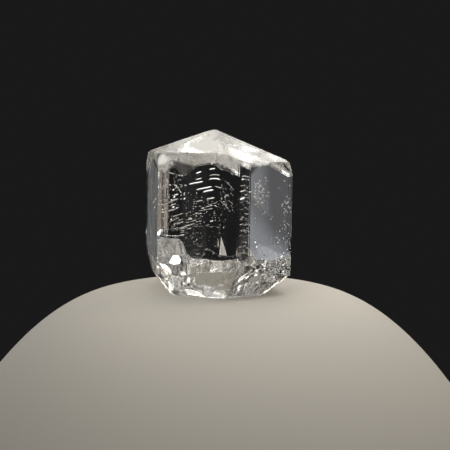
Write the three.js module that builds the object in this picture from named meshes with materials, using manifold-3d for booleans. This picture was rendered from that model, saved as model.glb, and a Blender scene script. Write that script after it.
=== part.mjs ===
// Phenakite crystal: one loose, colourless crystal. It is a stout prism of nine unequal
// faces under a low pyramid. Its root is broken away in steep facets and shell-shaped cups,
// which leave a flat foot. Growth ledges and etch pits cross its faces.
// Millimetres, +Z up. The origin is on the foot, below the middle of the bounding box.
import * as THREE from "three";
import { mergeVertices } from "three/addons/utils/BufferGeometryUtils.js";
import Module from "manifold-3d";

// Driving dimensions. An azimuth is the direction of a face's outward normal, in degrees
// from +X towards +Y. A distance is measured from the long axis, which runs through the apex.
const HEIGHT = 15.3; // foot to apex, along the long axis
const LEAN = 1.0; // degrees that the long axis leans towards +X, as the broken foot sets it
const REACH = 40; // size of the blocks that cut the faces, wider than the crystal

const FRONT = { azimuth: -107.5, distance: 5.0 };
const FRONT_EDGE = { azimuth: -77.5, distance: 6.23 };
const RIGHT_FRONT = { azimuth: -47.5, distance: 6.32 };
const RIGHT = { azimuth: 12.5, distance: 6.58 };
const BACK_EDGE = { azimuth: 42.5, distance: 7.45 };
const BACK = { azimuth: 72.5, distance: 7.45 };
const LEFT_BACK = { azimuth: 132.5, distance: 7.17 };
const LEFT_EDGE = { azimuth: 162.5, distance: 7.37 };
const LEFT = { azimuth: 192.5, distance: 5.78 };
const PRISM = [
  FRONT, FRONT_EDGE, RIGHT_FRONT, RIGHT, BACK_EDGE, BACK, LEFT_BACK, LEFT_EDGE, LEFT,
];

// Pyramid faces: the slope is in degrees from level, and the top is where the face's plane
// meets the long axis. Faces that meet it above the apex only cut the back.
const PYRAMID = [
  { azimuth: -107.5, slope: 22.7, top: HEIGHT },
  { azimuth: -47.5, slope: 24.2, top: HEIGHT },
  { azimuth: 12.5, slope: 24.2, top: HEIGHT },
  { azimuth: 72.5, slope: 23, top: HEIGHT + 0.3 },
  { azimuth: 132.5, slope: 22, top: HEIGHT + 0.45 },
  { azimuth: 192.5, slope: 21.6, top: HEIGHT },
  { azimuth: 90, slope: 33, top: HEIGHT + 1.55 },
  { azimuth: 38.5, slope: 38, top: HEIGHT + 1.4 },
];

// Small steep facets that cut the shoulder corners: each goes through the point that lies
// `radius` from the long axis and `below` the apex.
const SHOULDERS = [
  { azimuth: -16, slope: 68, radius: 6.88, below: 2.72 },
  { azimuth: 158, slope: 60, radius: 7.42, below: 3.25 },
  { azimuth: -145, slope: 58, radius: 6.05, below: 2.2 },
  { azimuth: 100, slope: 60, radius: 8.2, below: 4.25 },
  { azimuth: 61, slope: 62, radius: 7.4, below: 3.9 },
];

// The lower left of the prism tapers to the root in one steep plane.
const TAPER = { azimuth: 187, slope: 99.5, radius: 5.52 };

// The broken root: flat breaks that leave the foot `start` from the axis and rise outwards.
const BREAKS = [
  { azimuth: 188, start: 3.9, slope: 40 },
  { azimuth: 192, start: 4.4, slope: 58 },
  { azimuth: 184, start: 4.85, slope: 69 },
  { azimuth: -125, start: 4.28, slope: 62 },
  { azimuth: -103, start: 3.72, slope: 62 },
  { azimuth: -60, start: 4.05, slope: 54 },
  { azimuth: -5, start: 4.9, slope: 38 },
  { azimuth: 25, start: 5, slope: 45 },
  { azimuth: 72.5, start: 5.47, slope: 54 },
  { azimuth: 134, start: 5.04, slope: 67 },
  { azimuth: 160, start: 4.3, slope: 50 },
];
// Shell-shaped cups in the root, as spheres that were chipped out of it.
const CUPS = [
  { x: -3.27, y: -5.5, z: -3.84, radius: 5 },
  { x: 4.15, y: -5.65, z: 0.28, radius: 2.6 },
  { x: -4.9, y: 5.0, z: 0.1, radius: 2.4 },
  { x: 4.4, y: 6.2, z: 0.2, radius: 2.2 },
  { x: 0.2, y: 8.8, z: 0.2, radius: 2.3 },
];
// Roughness of the broken surface: each finer octave has `persistence` times the height.
const HACKLE = { size: 0.11, spacing: 1.5, octaves: 3, persistence: 0.6 };
const OCTAVE_SHIFT = 9; // keeps the octaves of the noise from lining up
// What broke off: a slab `across` wide and `depth` thick, on points one `cell` apart, whose
// level part stays `clearance` below the foot.
const BROKEN_OFF = { across: 22, depth: 2, cell: 0.44, clearance: 0.5 };

// Growth ledges in rows: on the front face the rows climb to a crest and fall beyond it.
// A jog is how far a ledge strays along its row, as a share of a column.
const LEDGE = { width: 0.16, relief: 0.07 };
const FRONT_ROWS = {
  count: 12, top: HEIGHT - 3.4, spacing: 0.6, crest: 1.76, climb: 15, fall: 32,
  columns: 10, share: 0.62, length: [0.45, 1.1], jog: 0.35,
};

// Rows on the other faces: `tilt` is how steeply their ledges run, in degrees from level.
const SIDE_ROWS = [
  { face: FRONT_EDGE, count: 14, top: HEIGHT - 3.5, spacing: 0.46, tilt: 0, length: 0.7 },
  { face: RIGHT, count: 7, top: HEIGHT - 4.2, spacing: 0.9, tilt: 12, length: 1.3 },
  { face: BACK, count: 12, top: HEIGHT - 4.6, spacing: 0.6, tilt: -14, length: 1.1 },
  { face: LEFT_BACK, count: 9, top: HEIGHT - 4.6, spacing: 0.6, tilt: 16, length: 1.2 },
  { face: LEFT, count: 8, top: HEIGHT - 4, spacing: 0.7, tilt: 14, length: 0.8 },
];

// Fine upright ribs and small etch pits, `each` of them on each of the faces.
const RIBS = {
  faces: [RIGHT_FRONT, RIGHT, BACK], each: 6, height: [5.5, 9.5], length: [2, 5],
  width: 0.1, relief: 0.03,
};
const PITS = {
  faces: [FRONT, RIGHT_FRONT, RIGHT, BACK], each: 9, height: [3.6, 11.4], width: 0.2, relief: 0.09,
};
const SUNK = 0.3; // share of a mark's relief by which its middle lies below the face

const degrees = THREE.MathUtils.degToRad;
const wasm = await Module();
wasm.setup();

/** A number from 0 to 1 that looks random and depends only on its two arguments. */
function scatter(i, j) {
  const wave = Math.sin(i * 127.1 + j * 311.7) * 43758.5453;
  return wave - Math.floor(wave);
}

/** A number from `low` to `high` that is fixed by the face, the mark's index and its `use`. */
function vary([low, high], face, index, use) {
  return low + (high - low) * scatter(index + face.azimuth, use);
}

/** Unit vector that leans `inclination` degrees from +Z towards `azimuth`. */
function direction(azimuth, inclination) {
  const level = Math.sin(degrees(inclination));
  return new THREE.Vector3(
    level * Math.cos(degrees(azimuth)),
    level * Math.sin(degrees(azimuth)),
    Math.cos(degrees(inclination)),
  );
}

/** A closed three.js geometry as a solid that can be joined and cut. */
function solidOf(geometry) {
  geometry.deleteAttribute("normal");
  geometry.deleteAttribute("uv");
  const merged = mergeVertices(geometry.index ? geometry : geometry.clone());
  return new wasm.Manifold(new wasm.Mesh({
    numProp: 3,
    vertProperties: new Float32Array(merged.attributes.position.array),
    triVerts: new Uint32Array(merged.index.array),
  }));
}

/** A solid back as a three.js geometry with flat shading. */
function geometryOf(solid) {
  const mesh = solid.getMesh();
  const geometry = new THREE.BufferGeometry();
  geometry.setAttribute("position", new THREE.BufferAttribute(mesh.vertProperties, 3));
  geometry.setIndex(new THREE.BufferAttribute(mesh.triVerts, 1));
  return geometry;
}

/** A solid made upright, along the long axis, and then leant as the crystal stands. */
function leaning(geometry) {
  return solidOf(geometry.rotateY(degrees(LEAN)));
}

/** A block that fills the outer side of the plane through `point` with the outward `normal`. */
function outside(normal, point) {
  const block = new THREE.BoxGeometry(REACH, REACH, REACH);
  block.translate(0, 0, normal.dot(point) + REACH / 2);
  const turn = new THREE.Quaternion().setFromUnitVectors(new THREE.Vector3(0, 0, 1), normal);
  return block.applyQuaternion(turn);
}

/** What is left of a solid once everything beyond each of the planes is cut away. */
function cutToPlanes(solid, planes) {
  const blocks = planes.map(({ normal, point }) => leaning(outside(normal, point)));
  return blocks.reduce((rest, block) => rest.subtract(block), solid);
}

/** The prism, still without its pyramid. */
function prism() {
  const block = leaning(new THREE.BoxGeometry(REACH / 2, REACH / 2, REACH));
  return cutToPlanes(block, PRISM.map(({ azimuth, distance }) => {
    const normal = direction(azimuth, 90);
    return { normal, point: normal.clone().multiplyScalar(distance) };
  }));
}

/** Cuts the pyramid, the shoulder facets and the taper. */
function cutEnds(solid) {
  return cutToPlanes(solid, [
    ...PYRAMID.map(({ azimuth, slope, top }) => (
      { normal: direction(azimuth, slope), point: new THREE.Vector3(0, 0, top) }
    )),
    ...SHOULDERS.map(({ azimuth, slope, radius, below }) => {
      const point = direction(azimuth, 90).multiplyScalar(radius).setZ(HEIGHT - below);
      return { normal: direction(azimuth, slope), point };
    }),
    {
      normal: direction(TAPER.azimuth, TAPER.slope),
      point: direction(TAPER.azimuth, 90).multiplyScalar(TAPER.radius),
    },
  ]);
}

/** Where, along a face from its middle line, the edge to a neighbouring face stands. */
function edgeAlong(face, neighbour) {
  const angle = degrees(neighbour.azimuth - face.azimuth);
  return (neighbour.distance - face.distance * Math.cos(angle)) / Math.sin(angle);
}

/** A place along a face, from 0 at its left edge to 1 at its right, clear of both edges. */
function placeAlong(face, share, clearance) {
  const index = PRISM.indexOf(face);
  const left = edgeAlong(face, PRISM.at(index - 1)) + clearance;
  const right = edgeAlong(face, PRISM[(index + 1) % PRISM.length]) - clearance;
  return THREE.MathUtils.lerp(left, right, share);
}

/** A spindle with four long facets, sunk a little over halfway in a prism face. */
function spindle(face, { across, height, turn, length, width, relief }) {
  const normal = direction(face.azimuth, 90);
  const along = direction(face.azimuth + 90, 90);
  const up = new THREE.Vector3(0, 0, 1);
  const place = new THREE.Matrix4().makeBasis(along, up, normal);
  const depth = face.distance - relief * SUNK;
  place.setPosition(normal.clone().multiplyScalar(depth).addScaledVector(along, across).setZ(height));
  const geometry = new THREE.OctahedronGeometry(1);
  geometry.scale(length / 2, width / 2, relief);
  geometry.rotateZ(degrees(turn));
  return leaning(geometry.applyMatrix4(place));
}

/** The growth ledges of the front face, row by row. */
function frontLedges() {
  const ledges = [];
  const { count, top, spacing, crest, climb, fall, columns, share, length, jog } = FRONT_ROWS;
  for (let row = 0; row < count; row++) {
    for (let column = 0; column < columns; column++) {
      const index = row * columns + column;
      if (vary([0, 1], FRONT, index, 0) > share) continue;
      const long = vary(length, FRONT, index, 1);
      const place = (column + 0.5 + vary([-jog, jog], FRONT, index, 2)) / columns;
      const across = placeAlong(FRONT, place, long / 2);
      const turn = across < crest ? climb : -fall;
      const height = top - row * spacing + Math.tan(degrees(turn)) * (across - crest);
      ledges.push(spindle(FRONT, { across, height, turn, length: long, ...LEDGE }));
    }
  }
  return ledges;
}

/** One growth ledge in each row of the faces beside and behind the front. */
function sideLedges() {
  return SIDE_ROWS.flatMap(({ face, count, top, spacing, tilt, length }) => (
    Array.from({ length: count }, (_, row) => spindle(face, {
      across: placeAlong(face, vary([0, 1], face, row, 3), length / 2),
      height: top - row * spacing,
      turn: tilt,
      length,
      ...LEDGE,
    }))
  ));
}

/** The fine ribs that run up the faces, parallel to the long axis. */
function ribs() {
  const { faces, each, height, length, width, relief } = RIBS;
  return faces.flatMap((face) => Array.from({ length: each }, (_, index) => (
    spindle(face, {
      across: placeAlong(face, vary([0, 1], face, index, 4), width),
      height: vary(height, face, index, 5),
      turn: 90,
      length: vary(length, face, index, 6),
      width,
      relief,
    })
  )));
}

/** The etch pits, as the spindles that are cut out of the faces. */
function pits() {
  const { faces, each, height, width, relief } = PITS;
  return faces.flatMap((face) => Array.from({ length: each }, (_, index) => (
    spindle(face, {
      across: placeAlong(face, vary([0, 1], face, index, 7), width),
      height: vary(height, face, index, 8),
      turn: 45,
      length: width,
      width,
      relief,
    })
  )));
}

/** Smooth value noise from -1 to 1 over the plane. */
function noise(x, y) {
  const [column, row] = [Math.floor(x), Math.floor(y)];
  const ease = (t) => t * t * (3 - 2 * t);
  const [s, t] = [ease(x - column), ease(y - row)];
  const near = THREE.MathUtils.lerp(scatter(column, row), scatter(column + 1, row), s);
  const far = THREE.MathUtils.lerp(scatter(column, row + 1), scatter(column + 1, row + 1), s);
  return 2 * THREE.MathUtils.lerp(near, far, t) - 1;
}

/** Ridges and hollows of the broken surface, in octaves that halve in width. */
function hackle(x, y) {
  const { size, spacing, octaves, persistence } = HACKLE;
  let sum = 0;
  for (let octave = 0; octave < octaves; octave++) {
    const scale = 2 ** octave / spacing;
    const spot = noise(x * scale + OCTAVE_SHIFT * octave, y * scale);
    sum += persistence ** octave * (1 - 2 * Math.abs(spot));
  }
  return size * sum;
}

/** Height of the broken surface above the foot; the foot is left where this is below 0. */
function breakHeight(x, y) {
  const spot = new THREE.Vector3(x, y, 0);
  const flats = BREAKS.map(({ azimuth, start, slope }) => (
    Math.tan(degrees(slope)) * (spot.dot(direction(azimuth, 90)) - start)
  ));
  const cups = CUPS.map((cup) => {
    const inside = cup.radius ** 2 - (x - cup.x) ** 2 - (y - cup.y) ** 2;
    return inside > 0 ? cup.z + Math.sqrt(inside) : -Infinity;
  });
  return Math.max(...flats, ...cups) + hackle(x, y);
}

/** All that broke off the root: a slab below the foot, raised to the broken surface. */
function brokenOff() {
  const { across, depth, cell, clearance } = BROKEN_OFF;
  const slab = new THREE.BoxGeometry(across, across, depth, across / cell, across / cell, 1);
  const points = slab.attributes.position;
  for (let i = 0; i < points.count; i++) {
    const height = Math.max(-clearance, breakHeight(points.getX(i), points.getY(i)));
    points.setZ(i, points.getZ(i) > 0 ? height : -depth);
  }
  return solidOf(slab);
}

/** The largest of the bodies that a cut leaves; the slivers beside it drop off. */
function largestBody(solid) {
  const bodies = solid.decompose();
  return bodies.reduce((best, body) => (body.volume() > best.volume() ? body : best));
}

/** The whole crystal, leaning on its foot, with the origin below its middle. */
function crystalGeometry() {
  const ledges = [...frontLedges(), ...sideLedges(), ...ribs()];
  const raised = ledges.reduce((solid, ledge) => solid.add(ledge), prism());
  const whole = cutEnds(pits().reduce((solid, pit) => solid.subtract(pit), raised));
  const ground = solidOf(outside(new THREE.Vector3(0, 0, -1), new THREE.Vector3()));
  const geometry = geometryOf(largestBody(whole.subtract(ground).subtract(brokenOff())));
  geometry.computeBoundingBox();
  const middle = geometry.boundingBox.getCenter(new THREE.Vector3());
  return geometry.translate(-middle.x, -middle.y, 0);
}

const colourless = new THREE.MeshStandardMaterial({
  color: 0xe9ecec, roughness: 0.05, metalness: 0, transparent: true, opacity: 0.35,
  flatShading: true,
});
const crystal = new THREE.Mesh(crystalGeometry(), colourless);
crystal.name = "phenakite_crystal";
const part = new THREE.Group();
part.add(crystal);

export default part;
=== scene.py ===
"""Phenakite crystal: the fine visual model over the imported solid, in metres.

The crystal is one closed mesh of clear glassy material. Flat faces are cut one by one from
a block. Geometry Nodes strew them with growth ledges, ribs and low bumps that stand for etch
pits. The root is broken away along a rough surface that leaves the foot flat.
"""

import itertools
import logging
import math
from dataclasses import astuple, dataclass, field, fields
from enum import Enum

import bmesh
import bpy
import numpy as np
from mathutils import Matrix, Vector


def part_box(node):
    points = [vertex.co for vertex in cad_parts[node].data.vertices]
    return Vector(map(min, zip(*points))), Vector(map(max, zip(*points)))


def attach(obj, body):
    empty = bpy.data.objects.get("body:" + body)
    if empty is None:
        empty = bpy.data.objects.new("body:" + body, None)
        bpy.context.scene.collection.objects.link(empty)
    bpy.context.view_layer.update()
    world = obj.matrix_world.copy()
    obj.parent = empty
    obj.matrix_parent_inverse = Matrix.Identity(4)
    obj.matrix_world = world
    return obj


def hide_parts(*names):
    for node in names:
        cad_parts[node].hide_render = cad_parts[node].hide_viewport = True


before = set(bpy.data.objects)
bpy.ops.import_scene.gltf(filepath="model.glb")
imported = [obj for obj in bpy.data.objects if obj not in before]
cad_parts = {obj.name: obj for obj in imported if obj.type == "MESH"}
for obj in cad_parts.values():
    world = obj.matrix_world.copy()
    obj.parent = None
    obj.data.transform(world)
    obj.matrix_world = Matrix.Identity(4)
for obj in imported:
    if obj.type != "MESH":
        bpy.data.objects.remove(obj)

LOG = logging.getLogger("phenakite")
NODE = "phenakite_crystal"

# The crystal is made in millimetres and scaled to metres at the end: the apex's height, the
# lean in degrees, and the side of the block that its faces are cut from.
MM = 0.001
HEIGHT = 15.3
LEAN = 1.0
BLOCK = 40.0
UP = Vector((0.0, 0.0, 1.0))
TINY = 1e-12


def direction(azimuth: float, inclination: float = 90.0) -> Vector:
    """Unit vector that leans from +Z towards an azimuth.

    Args:
        azimuth: degrees from +X towards +Y.
        inclination: degrees from +Z.

    Returns:
        The unit vector.
    """
    level = math.sin(math.radians(inclination))
    turn = math.radians(azimuth)
    rise = math.cos(math.radians(inclination))
    return Vector((level * math.cos(turn), level * math.sin(turn), rise))


def leaning() -> Matrix:
    """The turn that leans the upright crystal towards +X, as its foot sets it."""
    return Matrix.Rotation(math.radians(LEAN), 4, "Y")


def new_object(name: str, data: bpy.types.ID) -> bpy.types.Object:
    """Puts a mesh, a lamp or a camera into the scene as an object at the origin.

    Args:
        name: name of the new object.
        data: what it holds.

    Returns:
        The new object.
    """
    made = bpy.data.objects.new(name, data)
    bpy.context.scene.collection.objects.link(made)
    return made


def mesh_from(name: str, form: bmesh.types.BMesh) -> bpy.types.Mesh:
    """Writes a bmesh into a new mesh and frees it.

    Args:
        name: name of the new mesh.
        form: the bmesh.

    Returns:
        The new mesh.
    """
    mesh = bpy.data.meshes.new(name)
    form.to_mesh(mesh)
    form.free()
    return mesh


def drop(*things: bpy.types.Object) -> None:
    """Removes helper objects that have done their work."""
    for thing in things:
        bpy.data.objects.remove(thing)


def applied(thing: bpy.types.Object, name: str) -> bpy.types.Mesh:
    """The plain mesh that an object's modifiers make.

    Args:
        thing: the object with its modifiers.
        name: name of the new mesh.

    Returns:
        The plain mesh.
    """
    bpy.context.view_layer.update()
    evaluated = thing.evaluated_get(bpy.context.evaluated_depsgraph_get())
    mesh = bpy.data.meshes.new_from_object(evaluated)
    mesh.name = name
    return mesh


def read(
    items: bpy.types.bpy_prop_collection, name: str, width: int = 1, kind: type = float
) -> np.ndarray:
    """Reads one property of many mesh items.

    Args:
        items: the vertices, loops or polygons.
        name: the property.
        width: how many numbers each item has.
        kind: type of the numbers.

    Returns:
        The numbers, an item to a row, or all in one row where an item has one number.
    """
    values = np.empty(len(items) * width, dtype=kind)
    items.foreach_get(name, values)
    return values.reshape(-1, width) if width > 1 else values


class Surface(Enum):
    """Slots that tell the broken root from the rest while the crystal is made."""

    FACES = 0
    BROKEN = 1

    def material(self) -> bpy.types.Material:
        """The slot's stand-in material."""
        name = self.name.lower()
        return bpy.data.materials.get(name) or bpy.data.materials.new(name)

    def cover(self, mesh: bpy.types.Mesh) -> None:
        """Puts every polygon of a mesh into the slot."""
        slots = np.full(len(mesh.polygons), self.value, dtype=np.int32)
        mesh.polygons.foreach_set("material_index", slots)


class Join(Enum):
    """How a second solid changes the first."""

    ADD = "UNION"
    CUT = "DIFFERENCE"


def combine(first: bpy.types.Mesh, second: bpy.types.Mesh, join: Join) -> bpy.types.Mesh:
    """Joins a solid to another or cuts it from it.

    Args:
        first: the solid that is changed.
        second: the solid that is added or cut away.
        join: whether the second is added or cut.

    Returns:
        The new solid.
    """
    body = new_object("body", first)
    tool = new_object("tool", second)
    cut = body.modifiers.new("join", "BOOLEAN")
    cut.operation = join.value
    cut.solver = "MANIFOLD"
    cut.object = tool
    cut.material_mode = "INDEX"
    result = applied(body, first.name)
    drop(body, tool)
    return result


@dataclass(frozen=True)
class Texture:
    """How a stretch of surface looks, each value from 0 to 1: dull, grainy, and filmed over with a
    brown tint that also darkens it as painted shade.
    """

    frost: float = 0.0
    grain: float = 0.0
    film: float = 0.0


GLASSY = Texture()
WORN = Texture(0.1, 0.1)
DULL = Texture(0.4, 0.4)
ETCHED = Texture(1.0, 0.35)
CUPPED = Texture(0.05, 0.15)
# The third value of each break is its brown film, which also darkens the broken root as painted
# shade.
SMOOTH_BREAK = Texture(0.15, 0.1, 0.1)
ROUGH_BREAK = Texture(0.45, 0.85, 1.0)
MILKY_BREAK = Texture(0.75, 0.4, 1.0)


@dataclass(frozen=True)
class PrismFace:
    """An upright flat face, with its distance from the long axis in millimetres."""

    azimuth: float
    distance: float
    texture: Texture = GLASSY

    @property
    def normal(self) -> Vector:
        """The outward normal."""
        return direction(self.azimuth)

    @property
    def point(self) -> Vector:
        """The face's nearest point to the long axis."""
        return self.normal * self.distance

    def placement(self) -> Matrix:
        """Maps the face's own frame, x along it, y up and z outwards, to the upright crystal.

        Returns:
            The placement.
        """
        along = direction(self.azimuth + 90.0)
        turn = Matrix((along, UP, self.normal)).transposed().to_4x4()
        return Matrix.Translation(self.point) @ turn


@dataclass(frozen=True)
class SlopingFace:
    """A sloping flat face through a point that lies `radius` from the axis, `below` the apex."""

    azimuth: float
    slope: float
    radius: float = 0.0
    below: float = 0.0
    texture: Texture = ETCHED

    @property
    def normal(self) -> Vector:
        """The outward normal."""
        return direction(self.azimuth, self.slope)

    @property
    def point(self) -> Vector:
        """The point that the face goes through."""
        return direction(self.azimuth) * self.radius + UP * (HEIGHT - self.below)


FRONT = PrismFace(-107.5, 5.0)
FRONT_EDGE = PrismFace(-77.5, 6.23, DULL)
RIGHT_FRONT = PrismFace(-47.5, 6.32)
RIGHT = PrismFace(12.5, 6.58)
BACK_EDGE = PrismFace(42.5, 7.45)
BACK = PrismFace(72.5, 7.45)
LEFT_BACK = PrismFace(132.5, 7.17)
LEFT_EDGE = PrismFace(162.5, 7.37)
LEFT = PrismFace(192.5, 5.78)


@dataclass
class FlatFaces:
    """The upright crystal as its flat faces bound it, before the root broke."""

    prism: tuple[PrismFace, ...] = (
        FRONT, FRONT_EDGE, RIGHT_FRONT, RIGHT, BACK_EDGE, BACK, LEFT_BACK, LEFT_EDGE, LEFT,
    )
    pyramid: tuple[SlopingFace, ...] = (
        SlopingFace(-107.5, 22.7),
        SlopingFace(-47.5, 24.2),
        SlopingFace(12.5, 24.2),
        SlopingFace(72.5, 23.0, below=-0.3),
        SlopingFace(132.5, 22.0, below=-0.45),
        SlopingFace(192.5, 21.6),
        SlopingFace(90.0, 33.0, below=-1.55),
        SlopingFace(38.5, 38.0, below=-1.4),
    )
    shoulders: tuple[SlopingFace, ...] = (
        SlopingFace(-16.0, 68.0, 6.88, 2.72, GLASSY),
        SlopingFace(158.0, 60.0, 7.42, 3.25, GLASSY),
        SlopingFace(-145.0, 58.0, 6.05, 2.2, GLASSY),
        SlopingFace(100.0, 60.0, 8.2, 4.25, GLASSY),
        SlopingFace(61.0, 62.0, 7.4, 3.9, GLASSY),
    )
    taper: SlopingFace = SlopingFace(187.0, 99.5, 5.52, HEIGHT, GLASSY)
    edge_width: float = 0.08
    edge_segments: int = 2
    cell: float = 0.9
    cell_shift: float = 0.37

    def build(self) -> bpy.types.Mesh:
        """Cuts every face from a block and rounds the edges a little.

        Returns:
            The solid, upright, in millimetres.
        """
        form = bmesh.new()
        bmesh.ops.create_cube(form, size=BLOCK)
        for face in self.all():
            self.cut(form, face.normal, face.point)
        self.cut(form, -UP, -UP)
        bmesh.ops.remove_doubles(form, verts=form.verts, dist=self.edge_width)
        bmesh.ops.recalc_face_normals(form, faces=form.faces)
        bmesh.ops.bevel(
            form, geom=form.edges, offset=self.edge_width, segments=self.edge_segments,
            affect="EDGES", clamp_overlap=True,
        )
        self.divide(form)
        LOG.info("flat faces: %d faces cut from the block", len(self.all()))
        return mesh_from("flat_faces", form)

    def all(self) -> tuple[PrismFace | SlopingFace, ...]:
        """Every flat face."""
        return (*self.prism, *self.pyramid, *self.shoulders, self.taper)

    def divide(self, form: bmesh.types.BMesh) -> None:
        """Divides the faces into cells, so that a face full of marks stays well formed.

        Args:
            form: the solid.
        """
        steps = math.floor(HEIGHT / self.cell)
        for axis in (Vector((1.0, 0.0, 0.0)), Vector((0.0, 1.0, 0.0)), UP):
            for step in range(-steps, steps + 1):
                self.bisect(form, axis, axis * ((step + self.cell_shift) * self.cell))

    def normals(self) -> np.ndarray:
        """The outward normals of all flat faces as the crystal leans, one to a row."""
        return np.array([tuple(leaning().to_3x3() @ face.normal) for face in self.all()])

    def cut(self, form: bmesh.types.BMesh, normal: Vector, point: Vector) -> None:
        """Cuts away what lies beyond a plane and closes the cut with one face.

        Args:
            form: the solid.
            normal: the plane's outward normal.
            point: a point of the plane.
        """
        rim = self.bisect(form, normal, point, clear=True)
        if rim:
            bmesh.ops.contextual_create(form, geom=rim)

    @staticmethod
    def bisect(
        form: bmesh.types.BMesh, normal: Vector, point: Vector, clear: bool = False
    ) -> list[bmesh.types.BMEdge]:
        """Divides the faces along a plane.

        Args:
            form: the solid.
            normal: the plane's outward normal.
            point: a point of the plane.
            clear: whether what lies beyond the plane is deleted.

        Returns:
            The edges that lie in the plane.
        """
        everything = form.verts[:] + form.edges[:] + form.faces[:]
        split = bmesh.ops.bisect_plane(
            form, geom=everything, plane_co=point, plane_no=normal, clear_outer=clear
        )
        return [item for item in split["geom_cut"] if isinstance(item, bmesh.types.BMEdge)]


# Unrelated numbers that spread the noise's cells; then the shape of its octaves.
SCATTER_WEIGHTS = (127.1, 311.7, 74.7)
SCATTER_SCALE = 43758.5453
OCTAVES = 2
OCTAVE_SHIFT = 9.0
PERSISTENCE = 0.6


def scatter(cells: np.ndarray) -> np.ndarray:
    """Numbers from 0 to 1 that look random and depend only on the cell, one for each row."""
    wave = np.sin(cells @ np.array(SCATTER_WEIGHTS)) * SCATTER_SCALE
    return wave - np.floor(wave)


def noise(points: np.ndarray) -> np.ndarray:
    """Smooth value noise in space.

    Args:
        points: places, three coordinates to a row.

    Returns:
        The noise at each, from -1 to 1.
    """
    cells = np.floor(points)
    part = points - cells
    part = part * part * (3.0 - 2.0 * part)
    total = np.zeros(len(points))
    for corner in itertools.product((0.0, 1.0), repeat=3):
        share = np.abs(1.0 - np.array(corner) - part).prod(axis=1)
        total += share * scatter(cells + np.array(corner))
    return 2.0 * total - 1.0


def grain(points: np.ndarray, spacing: float) -> np.ndarray:
    """Noise of several octaves, each half as large as the last and weaker.

    Args:
        points: places, three coordinates to a row.
        spacing: distance between the largest bumps.

    Returns:
        The noise at each place, about -1.6 to 1.6.
    """
    total = np.zeros(len(points))
    for octave in range(OCTAVES):
        shifted = points * 2.0**octave / spacing + OCTAVE_SHIFT * octave
        total += noise(shifted) * PERSISTENCE**octave
    return total


@dataclass(frozen=True)
class Break:
    """A flat break of the root: it leaves the foot `start` from the axis and rises outwards."""

    azimuth: float
    start: float
    slope: float
    ribs: float = 0.0
    rib_spacing: float = 0.8
    texture: Texture = ROUGH_BREAK

    def height(self, x: np.ndarray, y: np.ndarray) -> np.ndarray:
        """The break's height above the foot; ribs run down its slope.

        Args:
            x: places along X.
            y: places along Y.

        Returns:
            The heights.
        """
        outwards = direction(self.azimuth)
        reach = x * outwards.x + y * outwards.y - self.start
        if self.ribs:
            aside = x * outwards.y - y * outwards.x
            lines = np.column_stack((aside, np.full_like(x, self.azimuth), np.zeros_like(x)))
            reach = reach + self.ribs * grain(lines, self.rib_spacing)
        return math.tan(math.radians(self.slope)) * reach


@dataclass(frozen=True)
class Cup:
    """A shell-shaped hollow in the root, as a ball that was chipped out of it."""

    x: float
    y: float
    z: float
    radius: float
    texture: Texture = CUPPED

    def height(self, x: np.ndarray, y: np.ndarray) -> np.ndarray:
        """The hollow's height above the foot at each place, and a low number beside it."""
        inside = self.radius**2 - (x - self.x) ** 2 - (y - self.y) ** 2
        return np.where(inside > 0.0, self.z + np.sqrt(np.maximum(inside, 0.0)), -BLOCK)


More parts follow.
